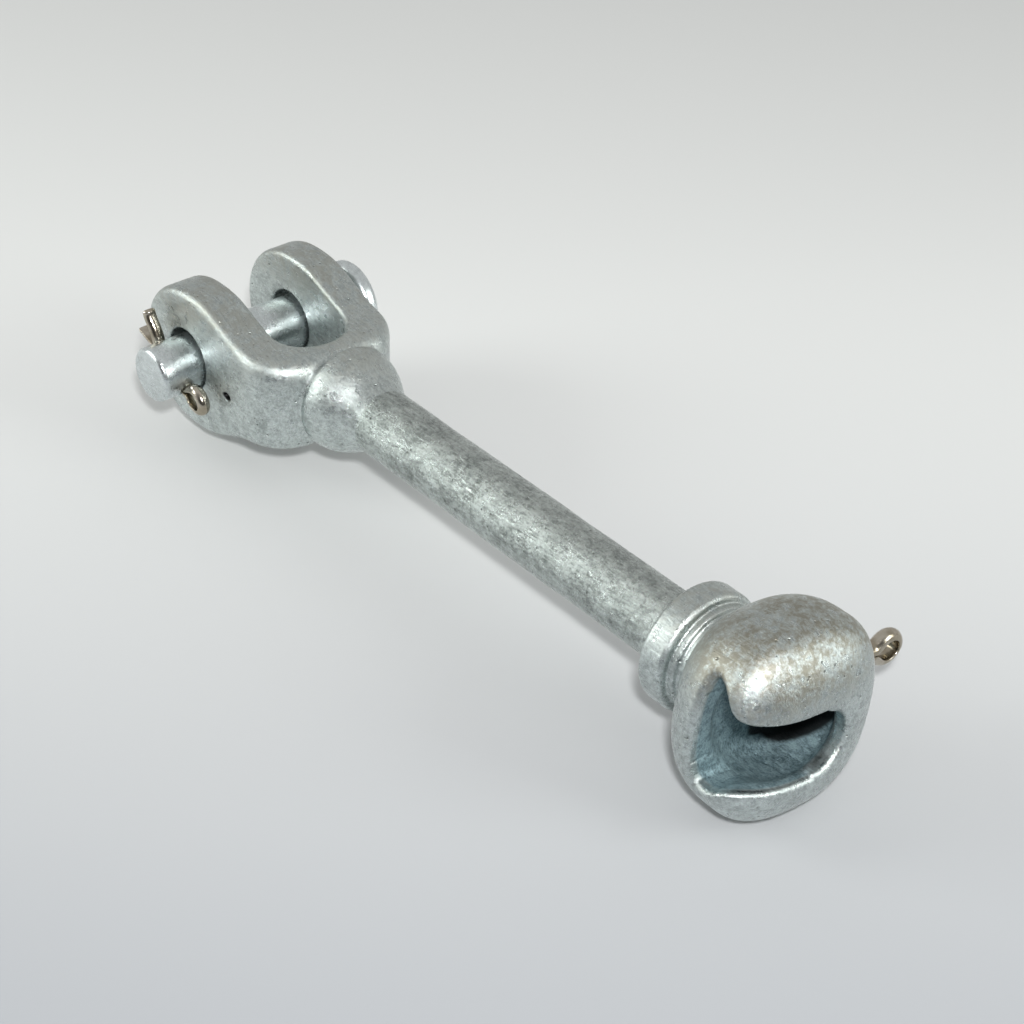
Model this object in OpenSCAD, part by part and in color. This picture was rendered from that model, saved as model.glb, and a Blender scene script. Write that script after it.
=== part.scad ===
// Socket-clevis extension link for overhead-line hardware, in millimetres.
// The origin is where the clevis bore axis crosses the shank axis. +X runs along the shank
// towards the socket, +Y towards the head of the clevis pin, and +Z is up as the link lies.

/* [Shank] */
// Diameter of the round bar
bar_d = 19; // [16:0.5:20]
// Distance from the clevis bore axis to where the bar leaves the fork hub
bar_start = 57; // [54:0.5:60]
// Distance from the clevis bore axis to where the bar enters the socket collar
bar_end = 178; // [150:1:200]
// Depth of the bar's seat in each forging
seat_depth = 7; // [4:0.5:8]

/* [Fork] */
// Radius of the rounded end of each ear
ear_r = 21.2; // [19:0.1:23]
// Clear gap between the ears
ear_gap = 22.8; // [21:0.2:24]
// Thickness of the ear on the pin head's side
ear_t = 11.2; // [10:0.2:12]
// Thickness of the ear on the side of the pin's free end
near_ear_t = 12.5; // [11.5:0.1:13]
// Diameter of the clevis bore through both ears
bore_d = 18; // [17.5:0.1:18.5]
// Distance from the bore axis to the bottom of the crotch
crotch_depth = 34.5; // [33:0.5:37]
// Half height of the fork where it narrows behind the ears
waist_r = 14; // [13:0.5:15]
// Largest diameter of the hub
hub_d = 30.2; // [29:0.2:32]
// Size of the bevel on the ears' edges
ear_bevel = 1.6; // [1:0.1:2]

/* [Clevis pin] */
// Diameter of the clevis pin
pin_d = 16; // [15.5:0.1:16]
// Distance from the shank axis to the pin's free end
pin_end = 36.3; // [36:0.1:38]
// Distance from the shank axis to the underside of the pin's head
pin_head_at = 30.4; // [28:0.2:32]
// Diameter of the pin's head
pin_head_d = 24; // [22:0.5:26]
// Thickness of the pin's head
pin_head_t = 5; // [4:0.5:6]
// Bevel on the pin's free end
pin_bevel = 1.6; // [1:0.1:2]
// Distance from the pin's free end to the cotter hole
pin_hole_at = 8; // [7.5:0.1:8.5]
// Angle of the clevis cotter about the pin, from +X towards +Z
cotter_angle = 149; // [100:1:180]

/* [Cotters] */
// Diameter of the clevis cotter, both legs together
clevis_wire_d = 3.8; // [3.2:0.1:4]
// Diameter of the socket cotter, both legs together
socket_wire_d = 4.4; // [4:0.1:4.6]
// How far the socket cotter's eye stands out from the shank axis
socket_cotter_out = 48; // [46:0.5:50]

/* [Socket] */
// Largest diameter of the collar
collar_d = 32.8; // [31:0.2:34]
// Diameter of the neck between collar and head
neck_d = 26.4; // [25:0.2:28]
// Distance from the clevis bore axis to the end of the socket
socket_end = 225.4; // [200:0.2:245]
// Length of the socket head along the shank
head_len = 33; // [32:0.5:34]
// Width of the socket head, from the window to the back
head_w = 51.2; // [50:0.2:52]
// Height of the socket head
head_h = 54.2; // [53:0.2:56]
// Turn of the head about the shank against the fork, window side up, in degrees
head_turn = 7.5; // [0:0.5:9]
// Width of the slot for the mating ball's stem
throat_w = 18.4; // [17.6:0.2:19]
// Height of the window that the mating ball enters by
window_h = 30; // [29:0.2:31]
// Length of the window, from its back edge to the seat
window_len = 13; // [12.4:0.2:14]
// Diameter of the round space that holds the ball
ball_space_d = 33.2; // [32:0.2:34]
// Thickness of the socket's end wall
lip_t = 6.4; // [6:0.2:7]

/* [Hidden] */
$fn = 64;
eps = 0.5;

bar_r = bar_d / 2;
bore_r = bore_d / 2;
pin_r = pin_d / 2;
hub_r = hub_d / 2;
half_gap = ear_gap / 2;
far_face = half_gap + ear_t;
near_face = half_gap + near_ear_t;
hub_x = bar_start - 9.6;
waist_x = 30;
waist_half_w = 19.8;
shoulder_x = 25;
pin_rest_gap = 0.05;
pin_z = -(bore_r - pin_r) + pin_rest_gap;
cotter_clearance = 0.25;

collar_r = collar_d / 2;
neck_r = neck_d / 2;
head_mid = socket_end - head_len / 2;
head_power_long = 2.6;
head_power_round = 2.4;
head_rings = 20;
head_sides = 48;
seat_x = socket_end - lip_t;
window_start = seat_x - window_len;
window_r = window_h / 2;
space_start = window_start - 3.5;
space_r = ball_space_d / 2;
throat_r = throat_w / 2;
lock_x = space_start + 3;
lock_y = 22;

// A round solid along +X from a list of [x, radius] points
module turned_along_x(points) {
    rotate([90, 0, 90]) rotate_extrude($fn = 96)
        polygon(concat(
            [[0, points[0][0]]], [for (p = points) [p[1], p[0]]], [[0, points[len(points) - 1][0]]]
        ));
}

// A cylinder along Y, from y0 to y1
module rod_along_y(r, y0, y1) {
    translate([0, y1, 0]) rotate([90, 0, 0]) cylinder(r = r, h = y1 - y0);
}

// The fork seen from the side: a round ear that narrows to the hub
module fork_side_outline() {
    circle(r = ear_r, $fn = 96);
    lean = 52;
    polygon([
        ear_r * [cos(lean), sin(lean)], [waist_x, waist_r], [hub_x, hub_r],
        [hub_x, -hub_r], [waist_x, -waist_r], ear_r * [cos(lean), -sin(lean)], [0, 0]
    ]);
}

// The fork seen from above: two cheeks that close in on the hub
module fork_top_outline() {
    polygon([
        [-ear_r - 1, -near_face], [shoulder_x, -near_face], [waist_x + 6, -waist_half_w], [hub_x, -hub_r],
        [hub_x, hub_r], [waist_x + 6, waist_half_w], [shoulder_x, far_face], [-ear_r - 1, far_face]
    ]);
}

module crotch() {
    linear_extrude(height = 3 * ear_r, center = true) {
        translate([crotch_depth - half_gap, 0]) circle(r = half_gap, $fn = 96);
        translate([-2 * ear_r, -half_gap]) square([2 * ear_r + crotch_depth - half_gap, ear_gap]);
    }
}

// Ring that bevels the outer edge of an ear on the face at y, side = -1 or 1
module ear_edge_cut(y, side) {
    mirror([0, side < 0 ? 1 : 0, 0]) translate([0, y - ear_bevel, 0]) rotate([-90, 0, 0])
        difference() {
            cylinder(r = ear_r + 2, h = ear_bevel + 1);
            translate([0, 0, -0.01]) cylinder(r1 = ear_r, r2 = ear_r - ear_bevel, h = ear_bevel + 0.01);
            translate([0, -ear_r - 3, -1]) cube([2 * ear_r, 2 * ear_r + 6, ear_bevel + 3]);
        }
}

module fork_forging() {
    hub_profile = [
        [hub_x - 5, hub_r - 2.6], [hub_x - 2.8, hub_r - 0.7], [hub_x, hub_r], [hub_x + 2.4, hub_r - 0.6],
        [hub_x + 4.6, hub_r - 2.4], [hub_x + 6.4, bar_r + 1.9], [bar_start, bar_r + 0.5]
    ];
    color("lightslategray") difference() {
        union() {
            intersection() {
                rotate([90, 0, 0]) linear_extrude(height = 2 * near_face, center = true) fork_side_outline();
                linear_extrude(height = 3 * ear_r, center = true) fork_top_outline();
            }
            turned_along_x(hub_profile);
        }
        crotch();
        ear_edge_cut(near_face, -1);
        ear_edge_cut(far_face, 1);
        rod_along_y(bore_r, -near_face - eps, far_face + eps);
        translate([bar_start - seat_depth, 0, 0]) rotate([0, 90, 0])
            cylinder(r = bar_r, h = seat_depth + eps);
    }
}

module shank_bar() {
    color("slategray") translate([bar_start - seat_depth, 0, 0]) rotate([0, 90, 0])
        cylinder(r = bar_r, h = bar_end - bar_start + 2 * seat_depth);
}

function signed_power(v, p) = sign(v) * pow(abs(v), 2 / p);

// One point of the head: a rounded block whose roundness is set by two powers
function head_point(u, v) = [
    head_mid + head_len / 2 * signed_power(sin(u), head_power_long),
    head_w / 2 * signed_power(cos(u), head_power_long) * signed_power(cos(v), head_power_round),
    head_h / 2 * signed_power(cos(u), head_power_long) * signed_power(sin(v), head_power_round)
];

module head_block() {
    ring_points = [
        for (i = [1 : head_rings - 1], j = [0 : head_sides - 1])
            head_point(-90 + 180 * i / head_rings, 360 * j / head_sides)
    ];
    low_tip = len(ring_points);
    high_tip = low_tip + 1;
    last_ring = (head_rings - 2) * head_sides;
    side_faces = [
        for (i = [0 : head_rings - 3], j = [0 : head_sides - 1])
            let (a = i * head_sides + j, b = i * head_sides + (j + 1) % head_sides)
                each [[a, b + head_sides, b], [a, a + head_sides, b + head_sides]]
    ];
    low_faces = [for (j = [0 : head_sides - 1]) [low_tip, j, (j + 1) % head_sides]];
    high_faces = [for (j = [0 : head_sides - 1]) [high_tip, last_ring + (j + 1) % head_sides, last_ring + j]];
    polyhedron(
        points = concat(ring_points, [head_point(-90, 0), head_point(90, 0)]),
        faces = concat(side_faces, low_faces, high_faces)
    );
}

// The window's outline from the side: tall where the ball enters, falling in a soft slant to the slot
module window_outline() {
    upper = [
        [window_start, window_r - 1.5], [window_start + 1.5, window_r], [window_start + 5, window_r],
        [window_start + 7.5, window_r - 2.2], [window_start + 10, throat_r + 1.6], [seat_x + eps, throat_r]
    ];
    polygon(concat(upper, [for (i = [len(upper) - 1 : -1 : 0]) [upper[i][0], -upper[i][1]]]));
}

// Everything the mating ball and its stem need: seat, window, slot and throat
module ball_space() {
    turned_along_x([
        [space_start, space_r - 1.5], [space_start + 1.5, space_r],
        [seat_x - 4, space_r], [seat_x, space_r - 4]
    ]);
    rotate([90, 0, 0]) linear_extrude(height = head_w) window_outline();
    translate([seat_x, -head_w, -throat_r]) cube([lip_t + 10, head_w, throat_w]);
    translate([seat_x - eps, 0, 0]) rotate([0, 90, 0]) cylinder(r = throat_r, h = lip_t + 10);
}

// Turns a child about the shank by the head's turn
module with_head() {
    rotate([-head_turn, 0, 0]) children();
}

// Places a child drawn along +Y, with its zero near the head's back wall, on the socket cotter's line
module on_lock_line() {
    with_head() translate([lock_x, lock_y, 0]) children();
}

module socket_forging() {
    step_x = bar_end + 8.6;
    step_r = neck_r + 1.3;
    body_profile = [
        [bar_end, bar_r + 0.8], [bar_end + 0.8, collar_r - 1.8], [bar_end + 2.4, collar_r],
        [bar_end + 7, collar_r], [bar_end + 8.2, collar_r - 1], [step_x, step_r],
        [step_x + 1.8, step_r], [step_x + 2.8, neck_r], [head_mid, neck_r]
    ];
    color("lightslategray") difference() {
        union() {
            turned_along_x(body_profile);
            with_head() head_block();
        }
        with_head() ball_space();
        translate([bar_end - eps, 0, 0]) rotate([0, 90, 0]) cylinder(r = bar_r, h = seat_depth + eps);
        on_lock_line() rod_along_y(socket_wire_d / 2 + cotter_clearance, -8, 12);
    }
}

// Pin along +Y: bevelled free end, head with a rounded rim
module clevis_pin() {
    head_round = 2;
    tip = [[0, -pin_end], [pin_r - pin_bevel, -pin_end], [pin_r, -pin_end + pin_bevel]];
    head = [
        [pin_r, pin_head_at], [pin_head_d / 2, pin_head_at],
        [pin_head_d / 2, pin_head_at + pin_head_t - head_round],
        [pin_head_d / 2 - head_round, pin_head_at + pin_head_t], [0, pin_head_at + pin_head_t]
    ];
    color("silver") translate([0, 0, pin_z]) difference() {
        rotate([-90, 0, 0]) rotate_extrude($fn = 96) polygon(concat(tip, head));
        translate([0, -pin_end + pin_hole_at, 0]) rotate([0, -cotter_angle, 0]) rotate([0, 90, 0])
            cylinder(r = clevis_wire_d / 2 + cotter_clearance, h = 3 * pin_d, center = true);
    }
}

// Split pin along +X through the origin: an eye at -X and two spread legs at +X.
// The eye lies in the XZ plane. neck is where the eye joins, fork_at where the legs part.
module split_pin(wire_d, neck, fork_at, leg_len, spread, eye_r) {
    wire_r = wire_d / 2;
    strand_r = wire_r * 0.62;
    leg_r = wire_r * 0.94;
    leg_root = 1.5;
    translate([-neck, 0, 0]) rotate([0, 90, 0]) cylinder(r = wire_r, h = neck + fork_at);
    translate([-neck - eye_r + strand_r / 2, 0, 0]) rotate([90, 0, 0])
        rotate_extrude($fn = 64) translate([eye_r - strand_r, 0]) circle(r = strand_r, $fn = 32);
    for (side = [-1, 1])
        translate([fork_at - leg_root, 0, side * 0.15]) rotate([0, 90 - side * spread, 0])
            linear_extrude(height = leg_len + leg_root) half_round(leg_r, -side);
}

// Half a disc, on the side of X that side gives
module half_round(r, side) {
    intersection() {
        circle(r = r, $fn = 64);
        translate([side > 0 ? 0 : -2 * r, -2 * r]) square([2 * r, 4 * r]);
    }
}

module clevis_cotter() {
    eye_r = 4;
    eye_gap = 0.6;
    fork_gap = 0.9;
    leg_len = 8;
    color("gainsboro") translate([0, -pin_end + pin_hole_at, pin_z]) rotate([0, -cotter_angle, 0])
        split_pin(clevis_wire_d, pin_r + eye_gap, pin_r + fork_gap, leg_len, 12, eye_r);
}

module socket_cotter() {
    eye_r = 5;
    leg_len = 16;
    color("gainsboro") on_lock_line() rotate([0, 0, -90])
        split_pin(socket_wire_d, socket_cotter_out - lock_y - 2 * eye_r, 7, leg_len, 3, eye_r);
}

fork_forging();
shank_bar();
socket_forging();
clevis_pin();
clevis_cotter();
socket_cotter();
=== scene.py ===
import bmesh
import bpy
import math
import numpy as np
from mathutils import Matrix, Vector


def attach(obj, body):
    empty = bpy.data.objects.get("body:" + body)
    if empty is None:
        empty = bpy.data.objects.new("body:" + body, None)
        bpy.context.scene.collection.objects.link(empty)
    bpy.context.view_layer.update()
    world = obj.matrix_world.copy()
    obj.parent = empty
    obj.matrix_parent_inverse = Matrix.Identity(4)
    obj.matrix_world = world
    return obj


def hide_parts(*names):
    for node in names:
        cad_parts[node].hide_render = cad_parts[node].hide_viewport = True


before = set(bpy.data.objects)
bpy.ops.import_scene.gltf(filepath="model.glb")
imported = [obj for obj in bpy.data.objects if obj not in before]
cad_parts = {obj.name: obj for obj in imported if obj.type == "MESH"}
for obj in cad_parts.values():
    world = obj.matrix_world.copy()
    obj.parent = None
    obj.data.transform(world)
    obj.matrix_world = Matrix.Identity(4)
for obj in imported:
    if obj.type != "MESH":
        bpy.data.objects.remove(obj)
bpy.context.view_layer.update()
print("frame loaded")

# the camera: its place and clips in metres, aim and roll in degrees, lens and sensor in millimetres
camera = {"place": (0.49374, -0.33486, 0.35826), "azimuth": 48.65, "elevation": 35.20,
          "roll": 2.24, "lens": 84.99, "sensor": 36, "nearClip": 0.01, "farClip": 20}


def aimedFrom(azimuth, elevation):  # the direction from the link to someone who looks from there
    a, e = math.radians(azimuth), math.radians(elevation)
    return Vector((math.sin(a) * math.cos(e), -math.cos(a) * math.cos(e), math.sin(e)))


def makeCamera(c):
    back = aimedFrom(c["azimuth"], c["elevation"])
    level = math.radians(c["azimuth"])
    right = Vector((math.cos(level), math.sin(level), 0))
    up = back.cross(right)
    turn = math.radians(c["roll"])
    side = math.cos(turn) * right + math.sin(turn) * up
    top = math.cos(turn) * up - math.sin(turn) * right
    data = bpy.data.cameras.new("camera")
    data.sensor_width, data.lens = c["sensor"], c["lens"]
    data.clip_start, data.clip_end = c["nearClip"], c["farClip"]
    holder = bpy.data.objects.new("camera", data)
    rows = [(side[i], top[i], back[i], c["place"][i]) for i in range(3)]
    holder.matrix_world = Matrix(rows + [(0, 0, 0, 1)])
    bpy.context.scene.collection.objects.link(holder)
    bpy.context.scene.camera = holder
    print("camera made")


makeCamera(camera)


# Shapes below are distances in millimetres, below zero inside the steel

def joined(a, b, width):  # two solids with a fillet of that width between them
    near = np.clip(width - np.abs(a - b), 0, None) / width
    return np.minimum(a, b) - near * near * width / 4


def shared(a, b, width):  # what two solids share, its edge rounded by that width
    return -joined(-a, -b, width)


def lessThe(a, b, width):  # the first solid with the second cut out of it, its rim rounded
    return shared(a, -b, width)


def roundBar(u, v, halfU, halfV, corner):  # a rectangle in u and v with round corners
    qu, qv = np.abs(u) - halfU + corner, np.abs(v) - halfV + corner
    return np.hypot(np.maximum(qu, 0), np.maximum(qv, 0)) + np.minimum(np.maximum(qu, qv), 0) - corner


def band(u, v, start, end, radius):  # a band along u from start to end, with round ends
    return np.hypot(u - np.clip(u, start, end), v) - radius


def slopeOf(distance, points, reach=0.05):  # how fast the distance rises along x, y and z
    slope = np.empty_like(points)
    for k in range(3):
        step = np.eye(3)[k] * reach
        slope[:, k] = (distance(*(points + step).T) - distance(*(points - step).T)) / (2 * reach)
    return slope


# The skin of a solid: the surface where its distance is zero. Each grid cell that the surface crosses
# holds one point, at the mean of the crossings on its edges, then moved down the slope onto the surface.
# Each grid edge that the surface crosses gives one face, between the four cells around that edge.
def skin(name, distance, low, high, step, settle=3):
    axes = [np.arange(a - 2 * step, b + 2 * step, step) for a, b in zip(low, high)]
    values = distance(*np.meshgrid(*axes, indexing="ij"))
    cells = np.array(values.shape) - 1
    total, count = np.zeros((*cells, 3)), np.zeros(cells)
    edges = []
    for axis in range(3):
        others = [k for k in range(3) if k != axis]
        first = np.take(values, range(cells[axis]), axis)
        second = np.take(values, range(1, cells[axis] + 1), axis)
        crossed = (first < 0) != (second < 0)
        where = np.indices(first.shape).astype(float)
        where[axis] += first / np.where(crossed, first - second, 1)
        edges.append((axis, others, crossed, first < 0))
        for du, dv in ((0, 0), (0, 1), (1, 0), (1, 1)):
            part = [slice(None)] * 3
            for other, d in zip(others, (du, dv)):
                part[other] = slice(1, None) if d else slice(0, -1)
            part = tuple(part)
            count += crossed[part]
            for k in range(3):
                total[..., k] += np.where(crossed, where[k], 0)[part]
    used = count > 0
    number = np.full(cells, -1)
    number[used] = np.arange(used.sum())
    points = total[used] / count[used][:, None] * step + [a[0] for a in axes]
    faces = []
    for axis, others, crossed, inside in edges:
        inner = [slice(None)] * 3
        for other in others:
            inner[other] = slice(1, -1)
        inner = tuple(inner)
        at = np.argwhere(crossed[inner])
        ring = []
        for du, dv in ((0, 0), (1, 0), (1, 1), (0, 1)):
            cell = at.copy()
            cell[:, others[0]] += du
            cell[:, others[1]] += dv
            ring.append(number[tuple(cell.T)])
        quads = np.stack(ring, 1)
        turned = inside[inner][tuple(at.T)] == (axis == 1)  # so that every face looks outwards
        quads[turned] = quads[turned][:, ::-1]
        faces.append(quads)
    for _ in range(settle):
        slope = slopeOf(distance, points)
        steepness = np.maximum((slope ** 2).sum(1), 0.1)
        points -= slope * (distance(*points.T) / steepness)[:, None]
    points = np.clip(points, low, high)
    return meshPiece(name, points, np.concatenate(faces), slopeOf(distance, points))


def meshPiece(name, points, faces, normals=None):  # points in millimetres, faces of four corners
    mesh = bpy.data.meshes.new(name)
    mesh.vertices.add(len(points))
    mesh.vertices.foreach_set("co", (points / 1000).astype(np.float32).ravel())
    mesh.loops.add(faces.size)
    mesh.loops.foreach_set("vertex_index", faces.astype(np.int32).ravel())
    mesh.polygons.add(len(faces))
    mesh.polygons.foreach_set("loop_start", np.arange(0, faces.size, 4, dtype=np.int32))
    mesh.update(calc_edges=True)
    mesh.validate()
    mesh.polygons.foreach_set("use_smooth", np.ones(len(mesh.polygons), bool))
    if normals is not None:
        length = np.maximum(np.linalg.norm(normals, axis=1, keepdims=True), 1e-9)
        mesh.normals_split_custom_set_from_vertices((normals / length).astype(np.float32))
    piece = bpy.data.objects.new(name, mesh)
    bpy.context.scene.collection.objects.link(piece)
    print(name, len(mesh.vertices), "points", len(mesh.polygons), "faces")
    return piece


# A closed grid of points, rows along and columns around: each row joins the next and each column wraps.
# The first and last rows are each one place, and their points are melted into one.
def gridPiece(name, grid):
    rows, columns = grid.shape[:2]
    index = np.arange(rows * columns).reshape(rows, columns)
    a, b = index[:-1], index[1:]
    faces = np.stack([a, np.roll(a, -1, 1), np.roll(b, -1, 1), b], -1).reshape(-1, 4)
    piece = meshPiece(name, grid.reshape(-1, 3), faces)
    melted = bmesh.new()
    melted.from_mesh(piece.data)
    bmesh.ops.remove_doubles(melted, verts=melted.verts, dist=1e-7)
    melted.to_mesh(piece.data)
    melted.free()
    return piece


# grid steps of the skins, in millimetres
fineness = {"forging": 0.55, "pin": 0.42}

# The fork: a round ear seen from the side, closing in on the hub seen from above, parted by the crotch
fork = {"earRadius": 21.0, "neckMiddle": 29, "neckHalf": 20, "waist": 14.0, "waistFillet": 14,
        "topMiddle": 5.5, "topHalf": 36.5, "outerFace": 23.25, "faceShift": -0.65, "topCorner": 14,
        "edgeAt": (20, 42), "edgeWidth": (3, 6.5), "halfGap": 11.4, "crotchDepth": 34.5, "crotchEdge": 2.0,
        "hubStart": 43.0, "hubLength": 15.6, "hubRadius": 15.2, "hubBack": 1.5, "hubEdge": 2.4,
        "hubFillet": 1.4, "barRadius": 9.5, "sleeveMiddle": 50, "sleeveHalf": 12, "sleeveFillet": 4.5,
        "sinkFrom": 56, "sinkRate": 0.02, "boreRadius": 9.0, "boreEdge": 1.1,
        "pit": (19.4, -23.9, -2.7), "pitSize": (1.5, 2.0, 1.0), "pitEdge": 0.4,
        "low": (-21.2, -23.9, -21.2), "high": (62.0, 22.6, 21.2)}


def forkDistance(x, y, z):
    f = fork
    ear = np.hypot(x, z) - f["earRadius"]
    neck = roundBar(x - f["neckMiddle"], z, f["neckHalf"], f["waist"], 2)
    side = joined(ear, neck, f["waistFillet"])
    top = roundBar(x - f["topMiddle"], y - f["faceShift"], f["topHalf"], f["outerFace"], f["topCorner"])
    body = shared(side, top, np.interp(x, f["edgeAt"], f["edgeWidth"]))
    crotch = band(x, y, -60, f["crotchDepth"] - f["halfGap"], f["halfGap"])
    body = lessThe(body, crotch, f["crotchEdge"])
    r = np.hypot(y, z)
    dome = (np.hypot((x - f["hubStart"]) / f["hubLength"], r / f["hubRadius"]) - 1) * f["hubRadius"]
    hub = shared(dome, f["hubStart"] - f["hubBack"] - x, f["hubEdge"])
    # the sleeve thins out along the bar and dips under its skin
    sink = f["sinkRate"] * np.maximum(x - f["sinkFrom"], 0) ** 2
    sleeveLength = np.abs(x - f["sleeveMiddle"]) - f["sleeveHalf"]
    sleeve = shared(r - f["barRadius"] + 0.02 + sink, sleeveLength, 0.2)
    solid = joined(body, joined(hub, sleeve, f["sleeveFillet"]), f["hubFillet"])
    solid = lessThe(solid, np.hypot(x, z) - f["boreRadius"], f["boreEdge"])
    away = [(c - m) / h for c, m, h in zip((x, y, z), f["pit"], f["pitSize"])]
    pit = np.sqrt(away[0] ** 2 + away[1] ** 2 + away[2] ** 2 + 1e-9) - 1
    return lessThe(solid, pit, f["pitEdge"])


forkPiece = skin("forkPiece", forkDistance, fork["low"], fork["high"], fineness["forging"])
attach(forkPiece, "link")
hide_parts("fork_forging")

# The socket: a collar and neck turned about the shank, and a hollow head that is round seen from its end.
# The window is tall where the ball goes in, and falls on a soft slant to the slot.
socket = {"collarMiddle": 182.4, "collarHalf": 4.1, "collarRadius": 16.4, "collarCorner": 1.7,
          "stepMiddle": 186, "stepHalf": 2.6, "stepRadius": 14.2, "neckMiddle": 194, "neckHalf": 12,
          "neckRadius": 13.0, "neckFillet": 3.5,
          "centreY": -1.0, "centreZ": -0.45, "twist": -7.5, "wide": 24.6, "high": 26.5, "power": 2.5,
          "start": 192.5, "end": 224.9, "backCorner": (17, 0.54), "frontCorner": (12.5, 0.72),
          "cornerPower": 2.1, "cornerScale": 25.5,
          "windowStart": 206.8, "windowEdge": 3.5, "slotHalf": 8.9, "slotDrop": 1.6, "dropAt": (209, 216),
          "heightAt": (200, 208, 211, 213, 215, 217, 218.5, 220, 222, 224, 230),
          "height": (15, 15, 14.3, 13.0, 11.2, 9.9, 9.3, 9.1, 9.1, 9.2, 9.4),
          "spaceStart": 202.6, "seat": 219.0, "ballRadius": 16.6, "ballCorner": 5,
          "slotFillet": 2.0, "ballFillet": 2.8, "rimEdge": 2.6,
          "lockAt": 205.5, "lockRadius": 3.0, "lockFrom": 8, "lockEdge": 0.7,
          "lowCorner": (178, -26.5, -27), "highCorner": (224.9, 25.2, 27)}


def headTurned(y, z):  # the head's own v and w, turned about its middle
    turn = math.radians(socket["twist"])
    v, w = y - socket["centreY"], z - socket["centreZ"]
    return v * math.cos(turn) + w * math.sin(turn), w * math.cos(turn) - v * math.sin(turn)


def headCorners(x):  # how far in from each end's rounding, with that rounding's length and depth
    s = socket
    return ((s["start"] + s["backCorner"][0] - x, s["backCorner"]),
            (x - s["end"] + s["frontCorner"][0], s["frontCorner"]))


def headSolid(x, v, w):
    p, q = socket["power"], socket["cornerPower"]
    around = ((np.abs(v) / socket["wide"]) ** p + (np.abs(w) / socket["high"]) ** p + 1e-9) ** (1 / p)
    ends = []
    for inset, (a, b) in headCorners(x):
        along, out = np.maximum(inset / a, 0), np.maximum((around - 1 + b) / b, 0)
        ends.append(((along ** q + out ** q + 1e-9) ** (1 / q) - 1) * b * socket["cornerScale"])
    return np.maximum(*ends)


def headHole(x, v, w):
    s = socket
    low = w + np.interp(x, s["dropAt"], [0, s["slotDrop"]])
    tall = np.abs(low) - np.interp(x, s["heightAt"], s["height"])
    window = np.maximum(shared(s["windowStart"] - x, tall, s["windowEdge"]), v)
    slotEnd = np.maximum(np.hypot(np.maximum(v, 0), low) - s["slotHalf"], s["windowStart"] - x)
    middle = (s["spaceStart"] + s["seat"]) / 2
    ball = roundBar(x - middle, np.hypot(v, w), s["seat"] - middle, s["ballRadius"], s["ballCorner"])
    return joined(joined(window, slotEnd, s["slotFillet"]), ball, s["ballFillet"])


def socketDistance(x, y, z):
    s = socket
    r = np.hypot(y, z)
    ring = roundBar(x - s["collarMiddle"], r, s["collarHalf"], s["collarRadius"], s["collarCorner"])
    step = roundBar(x - s["stepMiddle"], r, s["stepHalf"], s["stepRadius"], 0.6)
    neck = roundBar(x - s["neckMiddle"], r, s["neckHalf"], s["neckRadius"], 1)
    stem = joined(joined(ring, step, 0.7), neck, 1.2)
    v, w = headTurned(y, z)
    solid = joined(stem, headSolid(x, v, w), s["neckFillet"])
    # the locking pin's hole goes through the back wall only
    turn = math.radians(s["twist"])
    lock = np.hypot(x - s["lockAt"], z * math.cos(turn) - y * math.sin(turn)) - s["lockRadius"]
    solid = lessThe(solid, headHole(x, v, w), s["rimEdge"])
    return lessThe(solid, np.maximum(lock, s["lockFrom"] - y), s["lockEdge"])


socketPiece = skin("socketPiece", socketDistance, socket["lowCorner"], socket["highCorner"],
                   fineness["forging"])
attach(socketPiece, "link")
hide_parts("socket_forging")

# The bar: a round bar whose radius wanders a little, as a rolled and dipped bar's does. The radius is a
# mean plus three long waves along and around, and drops to nothing in the first and last rows.
bar = {"radius": 9.42, "start": 52.0, "end": 183.0, "rows": 330, "columns": 150, "wander": 0.10,
       "waves": ((0.4, 0.11, 2, 0), (0.35, 0.23, -3, 1), (0.25, 0.37, 5, 2)), "cap": 0.01}


def makeBar(b):
    x = np.linspace(b["start"], b["end"], b["rows"])[:, None]
    t = np.linspace(0, 2 * np.pi, b["columns"], endpoint=False)[None, :]
    wave = sum(share * np.sin(along * x + around * t + shift) for share, along, around, shift in b["waves"])
    caps = np.clip((x - b["start"]) / b["cap"], 0, 1) * np.clip((b["end"] - x) / b["cap"], 0, 1)
    r = (b["radius"] + b["wander"] * wave) * caps
    return gridPiece("barPiece", np.stack([x + 0 * t, r * np.cos(t), r * np.sin(t)], -1))


barPiece = makeBar(bar)
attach(barPiece, "link")
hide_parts("shank_bar")

# The clevis pin: a turned profile with a round-edged head, less the split pin's cross hole
pin = {"radius": 8.0, "drop": -0.95, "end": -36.3, "endCorner": 1.5, "headAt": 30.4, "headTop": 35.4,
       "headRadius": 12.0, "headCorner": 2.0, "headFillet": 0.8,
       "holeAt": -28.3, "holeRadius": 2.15, "holeAngle": 149, "holeEdge": 0.5,
       "low": (-12, -36.3, -12.95), "high": (12, 35.4, 11.05)}


def pinDistance(x, y, z):
    p = pin
    r = np.hypot(x, z - p["drop"])
    middle = (p["end"] + p["headTop"]) / 2 - 1
    shaft = roundBar(y - middle, r, middle - p["end"], p["radius"], p["endCorner"])
    half = (p["headTop"] - p["headAt"]) / 2
    head = roundBar(y - p["headAt"] - half, r, half, p["headRadius"], p["headCorner"])
    a = math.radians(p["holeAngle"])
    across = np.hypot(y - p["holeAt"], x * math.sin(a) - (z - p["drop"]) * math.cos(a))
    return lessThe(joined(shaft, head, p["headFillet"]), across - p["holeRadius"], p["holeEdge"])


pinPiece = skin("pinPiece", pinDistance, pin["low"], pin["high"], fineness["pin"])
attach(pinPiece, "pin")
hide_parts("clevis_pin")


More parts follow.
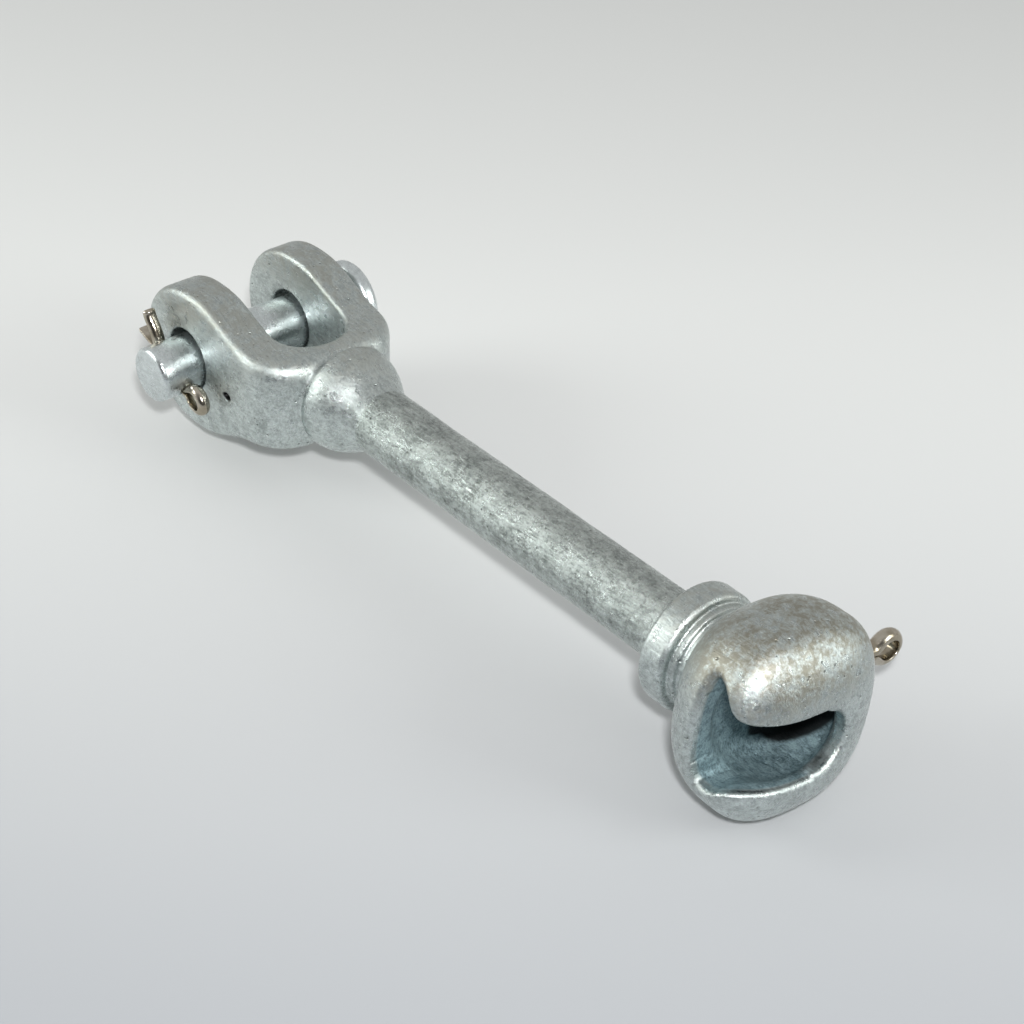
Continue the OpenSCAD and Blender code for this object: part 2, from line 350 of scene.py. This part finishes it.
def softened(line, width):  # a line of points drawn smooth by a bell-shaped mean over its neighbours
    reach = 3 * width
    weights = np.exp(-0.5 * (np.arange(-reach, reach + 1) / width) ** 2)
    weights /= weights.sum()
    before = line[:1] + (line[:1] - line[1:reach + 1])[::-1]
    after = line[-1:] + (line[-1:] - line[-reach - 1:-1])[::-1]
    longer = np.concatenate([before, line, after])
    return np.stack([np.convolve(longer[:, k], weights, "valid") for k in (0, 1)], 1)


# A split pin: half-round wire, its flat side inwards, carried along a path that runs up one leg, round
# the eye and down the other leg. p runs along the pin towards its legs and q across it, in the eye's
# plane. The wire's section shrinks to nothing at both tips, as a quarter circle does.
def splitPin(name, c, origin, alongP, acrossQ, outB):
    pinch = math.radians(c["pinch"])
    turns = np.linspace(pinch, 2 * np.pi - pinch, 60)
    eye = np.stack([-c["neck"] - c["eyeLong"] + c["eyeLong"] * np.cos(turns),
                    c["eyeAside"] + c["eyeWide"] * np.sin(turns)], 1)
    straight = np.array([[c["fork"], c["gap"]], [-c["neck"] + 1.2, c["gap"]]])
    legA, legB = np.array(c["legA"], float), np.array(c["legB"], float)
    path = np.concatenate([legA[::-1], straight, eye, straight[::-1] * [1, -1], legB])
    run = np.concatenate([[0], np.cumsum(np.linalg.norm(np.diff(path, axis=0), axis=1))])
    fine = np.linspace(0, run[-1], c["rows"])
    line = np.stack([np.interp(fine, run, path[:, k]) for k in (0, 1)], 1)
    line = softened(line, int(round(c["soften"] / (fine[1] - fine[0]))))
    along = np.gradient(line, axis=0)
    along /= np.linalg.norm(along, axis=1, keepdims=True)
    inward = np.stack([-along[:, 1], along[:, 0]], 1)
    t = np.linspace(0, 2 * np.pi, c["columns"], endpoint=False)
    r = c["wire"] / 2
    bulge = np.where(np.sin(t) > 0, 1, c["flatness"]) * np.sin(t) * r
    left = np.minimum(fine, run[-1] - fine) / c["tip"]
    shrink = np.sqrt(np.clip(1 - (1 - np.clip(left, 0, 1)) ** 2, 0, 1))[:, None]
    setIn = r * c["setIn"]
    centre = line[:, None, :] - inward[:, None, :] * setIn
    flat = centre - inward[:, None, :] * ((bulge - setIn)[None, :] * shrink)[..., None]
    sideways = ((np.cos(t) * r)[None, :] * shrink)[..., None]
    grid = (np.array(origin) + flat[..., :1] * np.array(alongP) + flat[..., 1:] * np.array(acrossQ)
            + sideways * np.array(outB))
    return gridPiece(name, grid)


clevisSplit = {"wire": 3.8, "flatness": 0.14, "setIn": 0.35, "tip": 0.9, "gap": 0.28, "neck": 9.5,
               "fork": 8.6, "eyeLong": 3.0, "eyeWide": 2.2, "eyeAside": -1.6, "pinch": 30,
               "legA": [(9.4, 0.6), (12.6, 1.3), (15.9, 2.1)],
               "legB": [(9.2, -1.2), (11.5, -2.5), (14.2, -3.5), (16.0, -4.4), (16.9, -5.6)],
               "rows": 260, "columns": 36, "soften": 0.55}
tilt = math.radians(pin["holeAngle"])
clevisPiece = splitPin("clevisPiece", clevisSplit, (0, pin["holeAt"], pin["drop"]),
                       (math.cos(tilt), 0, math.sin(tilt)), (-math.sin(tilt), 0, math.cos(tilt)), (0, -1, 0))
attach(clevisPiece, "pin_cotter")
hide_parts("clevis_cotter")

socketSplit = {"wire": 4.4, "flatness": 0.14, "setIn": 0.35, "tip": 0.9, "gap": 0.3, "neck": 16.35,
               "fork": 6.8, "eyeLong": 3.4, "eyeWide": 2.9, "eyeAside": 0.0, "pinch": 30,
               "legA": [(9.0, 0.5), (16.0, 0.9), (22.0, 1.2)],
               "legB": [(9.0, -0.5), (16.0, -0.9), (23.0, -1.3)],
               "rows": 420, "columns": 36, "soften": 0.8, "wallAt": 22}
lean = math.radians(-socket["twist"])
outwards = np.array([0, math.cos(lean), -math.sin(lean)])
socketPin = splitPin("socketPin", socketSplit, outwards * socketSplit["wallAt"] + (socket["lockAt"], 0, 0),
                     -outwards, (0, math.sin(lean), math.cos(lean)), (-1, 0, 0))
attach(socketPin, "socket_lock")
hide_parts("socket_cotter")


def plug(tree, inputs, values):  # a link for each wire and a fixed value for anything else
    for key, value in values.items():
        if isinstance(value, Wire):
            tree.links.new(value.socket, inputs[key])
        else:
            inputs[key].default_value = value


class Wire:  # one output of a node: sums on it add Math nodes, and node() adds any other kind
    def __init__(self, tree, socket):
        self.tree, self.socket = tree, socket

    def node(self, kind, sockets, out=0, **settings):
        made = self.tree.nodes.new("ShaderNode" + kind)
        for key, value in settings.items():
            setattr(made, key, value)
        plug(self.tree, made.inputs, sockets)
        return Wire(self.tree, made.outputs[out])

    def sums(self, operation, a, b):
        return self.node("Math", {0: a, 1: b}, operation=operation)

    def __add__(self, other): return self.sums("ADD", self, other)
    def __sub__(self, other): return self.sums("SUBTRACT", self, other)
    def __rsub__(self, other): return self.sums("SUBTRACT", other, self)
    def __mul__(self, other): return self.sums("MULTIPLY", self, other)
    def __truediv__(self, other): return self.sums("DIVIDE", self, other)
    def __rtruediv__(self, other): return self.sums("DIVIDE", other, self)
    def __pow__(self, other): return self.sums("POWER", self, other)
    __radd__, __rmul__ = __add__, __mul__

    def atLeast(self, other):
        return self.sums("MAXIMUM", self, other)

    def between(self, low, high):  # 0 below low, 1 above high, smooth between
        return self.node("MapRange", {"Value": self, "From Min": low, "From Max": high},
                         interpolation_type="SMOOTHSTEP")

    def noise(self, scale, detail=4, rough=0.55, warp=0.0):
        return self.node("TexNoise", {"Vector": self, "Scale": scale, "Detail": detail,
                                      "Roughness": rough, "Distortion": warp})

    def mix(self, first, second):  # by this value, from the first colour to the second
        return self.node("Mix", {"Factor": self, 6: first, 7: second}, out=2, data_type="RGBA")

    def tint(self, low, high):  # a colour between two, by this value
        return self.mix((*low, 1), (*high, 1))

    def toward(self, colour, share):  # this colour, moved towards another by a share
        return share.mix(self, (*colour, 1))


def finish(name, shader):
    made = bpy.data.materials.new(name)
    made.use_nodes = True
    tree = made.node_tree
    place = Wire(tree, tree.nodes.new("ShaderNodeTexCoord").outputs["Object"])
    plug(tree, tree.nodes["Principled BSDF"].inputs, shader(place))
    print(name, "mixed")
    return made


# dull and bright are the zinc's two colours and rough its least and most; the rest are strengths
zincForged = {"dull": (0.33, 0.365, 0.36), "bright": (0.69, 0.755, 0.745), "rough": (0.22, 0.38),
              "grain": 0.26, "lumps": 0.20, "pits": 0.7, "patina": 0.62, "streak": 0.45}
zincBar = {"dull": (0.18, 0.20, 0.19), "bright": (0.62, 0.68, 0.66), "rough": (0.19, 0.36),
           "grain": 0.26, "lumps": 0.18, "pits": 0.9, "patina": 0.50, "streak": 0.95}
zincPin = {"dull": (0.50, 0.54, 0.545), "bright": (0.72, 0.775, 0.785), "rough": (0.22, 0.34),
           "grain": 0.10, "lumps": 0.0, "pits": 0.2, "patina": 0.0, "streak": 0.05}
# the first three are the zinc's own marks; the hollow's two teal colours are painted shade and a painted
# reflection, the black after them is a painted shadow under the lip, and the last is painted shade in the
# ear's pit
stainsAndPaintedShade = {"pit": (0.09, 0.10, 0.09), "flake": (0.14, 0.155, 0.15), "worn": (0.27, 0.26, 0.215),
          "darkHollowShade": (0.035, 0.08, 0.10), "paleHollowShade": (0.27, 0.40, 0.44), "paintedLipShadow": (0.006, 0.009, 0.010),
          "dent": (0.02, 0.02, 0.02)}


# 1 inside the window and the ball's space, from the head's own corner formula, and a painted shadow: black
# up under the lip
def hollow(x, y, z):
    s = socket
    turn, p, mm = math.radians(s["twist"]), s["power"], x * 1000
    fromY, fromZ = y - s["centreY"] / 1000, z - s["centreZ"] / 1000
    v = fromY * math.cos(turn) + fromZ * math.sin(turn)
    w = fromZ * math.cos(turn) - fromY * math.sin(turn)
    sideways, upwards = (v * v) ** 0.5 * (1000 / s["wide"]), (w * w) ** 0.5 * (1000 / s["high"])
    around = (sideways ** p + upwards ** p) ** (1 / p)
    depths = []
    for inset, (a, b) in headCorners(mm):
        along, out = (inset / a).atLeast(0), ((around - 1 + b) / b).atLeast(0)
        depths.append((along * along + out * out) ** 0.5)
    depth = depths[0].atLeast(depths[1])
    seatEnd = 1 - x.between(0.2190, 0.2212) * v.between(-0.002, 0.005)
    inside = (1 - depth.between(0.80, 0.89)) * x.between(0.2005, 0.2020) * seatEnd
    # the lip's shadow, painted black on the back wall just under the lip
    edge = x.between(0.2024, 0.2034) * 0.0045 + (x - 0.2034).atLeast(0) * 0.92
    paintedLipShadow = inside * (v - edge).between(-0.0006, 0.0012) * (1 - x.between(0.2175, 0.2190))
    return inside, paintedLipShadow


def galvanised(g):
    def shader(place):
        x, y, z = (place.node("SeparateXYZ", {"Vector": place}, out=k) for k in range(3))
        cloud = place.noise(95, 5, 0.6, 0.4)
        mottle = place.noise(560, 6, 0.70, 0.3)
        speck = place.noise(2100, 3, 0.7)
        streaked = place.node("Mapping", {"Vector": place, "Rotation": (0.4, 0.5, 0.75),
                                          "Scale": (0.33, 2.1, 1.5)})
        hair = streaked.noise(900, 6, 0.72, 0.4)
        cells = place.node("TexVoronoi", {"Vector": place, "Scale": 420.0, "Randomness": 1.0}, feature="F1")
        chosen = place.noise(150, 2).between(0.48, 0.58)
        pit = (1 - cells.between(0.06, 0.19)) * chosen
        flake = speck.between(0.56, 0.68) * mottle.between(0.40, 0.60)
        shade = (cloud * 0.2 + mottle * 0.38 + hair * 0.37 + speck * 0.3).between(0.50, 0.75)
        colour = shade.tint(g["dull"], g["bright"]).toward(stainsAndPaintedShade["pit"], pit * g["pits"])
        colour = colour.toward(stainsAndPaintedShade["flake"], flake * 0.45)
        # a warm grey dullness high on the link, most of it on the head
        patches = (mottle * 0.6 + cloud * 0.4).between(0.40, 0.58)
        worn = z.between(0.004, 0.019) * patches * (x.between(0.190, 0.206) * 0.35 + g["patina"])
        colour = colour.toward(stainsAndPaintedShade["worn"], worn)
        # the hollow is painted darker and blue-green: painted shade in the recess and a painted blue
        # reflection
        inside, paintedLipShadow = hollow(x, y, z)
        colour = (inside * 0.9).mix(colour, shade.tint(stainsAndPaintedShade["darkHollowShade"], stainsAndPaintedShade["paleHollowShade"]))
        # painted shadow under the lip, near black
        colour = colour.toward(stainsAndPaintedShade["paintedLipShadow"], paintedLipShadow)
        # the pit on the near ear's face, a long shape seen from the side, painted near-black inside as shade
        dentX, dentZ = (x - fork["pit"][0] / 1000) * 600, (z - fork["pit"][2] / 1000) * 950
        dent = (dentX * dentX + dentZ * dentZ) ** 0.5
        paintedPitShade = (1 - dent.between(0.9, 1.4)) * (1 - y.between(-0.0216, -0.0205))
        colour = colour.toward(stainsAndPaintedShade["dent"], paintedPitShade)
        least, most = g["rough"]
        rough = (place.noise(330, 4).between(0.3, 0.7) * (most - least) + least
                 + pit * 0.2 + worn * 0.10 + inside * 0.15)
        relief = (hair * (1.1 * g["streak"]) + mottle * (1.0 * g["grain"]) + speck * (0.55 * g["grain"])
                  + cloud * (3.0 * g["lumps"]) - pit * g["pits"] + inside * speck * 0.5)
        bump = place.node("Bump", {"Height": relief, "Strength": 0.7, "Distance": 0.00045})
        return {"Base Color": colour, "Roughness": rough, "Normal": bump, "Metallic": 0.97 - inside * 0.45}
    return shader


def stainless(place):
    draw = place.noise(900, 3)
    warm = place.noise(240, 3).between(0.35, 0.65)
    bump = place.node("Bump", {"Height": draw, "Strength": 0.18, "Distance": 0.0002})
    return {"Base Color": warm.tint((0.34, 0.30, 0.23), (0.50, 0.46, 0.39)),
            "Roughness": draw * 0.12 + 0.13, "Normal": bump, "Metallic": 1.0}


forgedFinish = finish("zincForged", galvanised(zincForged))
barFinish = finish("zincBar", galvanised(zincBar))
pinFinish = finish("zincPin", galvanised(zincPin))
wireFinish = finish("wireFinish", stainless)
for piece, made in ((forkPiece, forgedFinish), (socketPiece, forgedFinish), (barPiece, barFinish),
                    (pinPiece, pinFinish), (clevisPiece, wireFinish), (socketPin, wireFinish)):
    piece.data.materials.append(made)

# the floor's height and size in metres, and its two colours from the viewer outwards, a painted shade:
# darker and bluer near the viewer
floorSet = {"height": -0.027, "size": 4.0, "near": (0.275, 0.288, 0.312), "far": (0.70, 0.71, 0.705)}


def makeFloor(s):
    half = s["size"] / 2
    corners = [(x * half, y * half, s["height"]) for x, y in ((-1, -1), (1, -1), (1, 1), (-1, 1))]
    mesh = bpy.data.meshes.new("floor")
    mesh.from_pydata(corners, [], [(0, 1, 2, 3)])
    floor = bpy.data.objects.new("floor", mesh)
    bpy.context.scene.collection.objects.link(floor)

    def paper(place):
        x, y = (place.node("SeparateXYZ", {"Vector": place}, out=k) for k in range(2))
        # painted shade: the floor's colour darkens and turns bluer towards the viewer
        away = (y * 0.66 - x * 0.75).between(-0.36, 0.10)
        return {"Base Color": away.tint(s["near"], s["far"]),
                "Roughness": place.noise(300) * 0.1 + 0.75, "Specular IOR Level": 0.2}

    mesh.materials.append(finish("paleFloor", paper))


makeFloor(floorSet)

# the room is an even white, dimmer behind the viewer
room = {"strength": 0.60, "tone": (1, 1, 0.99, 1), "dimAt": (0.74, -0.65, 0.17), "dimmed": 0.88}


def makeRoom(r):
    world = bpy.data.worlds.new("room")
    world.use_nodes = True
    tree = world.node_tree
    place = Wire(tree, tree.nodes.new("ShaderNodeTexCoord").outputs["Generated"])
    facing = place.node("VectorMath", {0: place, 1: r["dimAt"]}, out=1, operation="DOT_PRODUCT")
    strength = (1 - facing.between(0.35, 0.85) * r["dimmed"]) * r["strength"]
    plug(tree, tree.nodes["Background"].inputs, {"Color": r["tone"], "Strength": strength})
    bpy.context.scene.world = world


makeRoom(room)
bpy.context.scene.view_settings.view_transform = "Standard"

# lights: direction in degrees, as a view's azimuth and elevation, distance and size in metres, power
# in watts
lights = {"leftSoft": {"azimuth": -43, "elevation": 22, "away": 0.85, "size": 0.40, "power": 2.9,
                       "tone": (0.97, 1.0, 0.96)},
          "rightSoft": {"azimuth": 120, "elevation": 22, "away": 0.85, "size": 0.40, "power": 2.9,
                        "tone": (0.97, 1.0, 0.97)},
          "frontLamp": {"azimuth": 51, "elevation": 41, "away": 0.74, "size": 0.05, "power": 4.6,
                        "tone": (1.0, 1.0, 1.0)}}
lightsAim = Vector((0.11, 0, 0))


def makeLight(name, l):
    data = bpy.data.lights.new(name, "AREA")
    data.energy, data.size, data.color = l["power"], l["size"], l["tone"]
    lamp = bpy.data.objects.new(name, data)
    back = aimedFrom(l["azimuth"], l["elevation"])
    lamp.location = lightsAim + back * l["away"]
    lamp.rotation_mode = "QUATERNION"
    lamp.rotation_quaternion = (-back).to_track_quat("-Z", "Y")
    lamp.visible_camera = False
    bpy.context.scene.collection.objects.link(lamp)


for name, light in lights.items():
    makeLight(name, light)
print("floor, room and lights set")
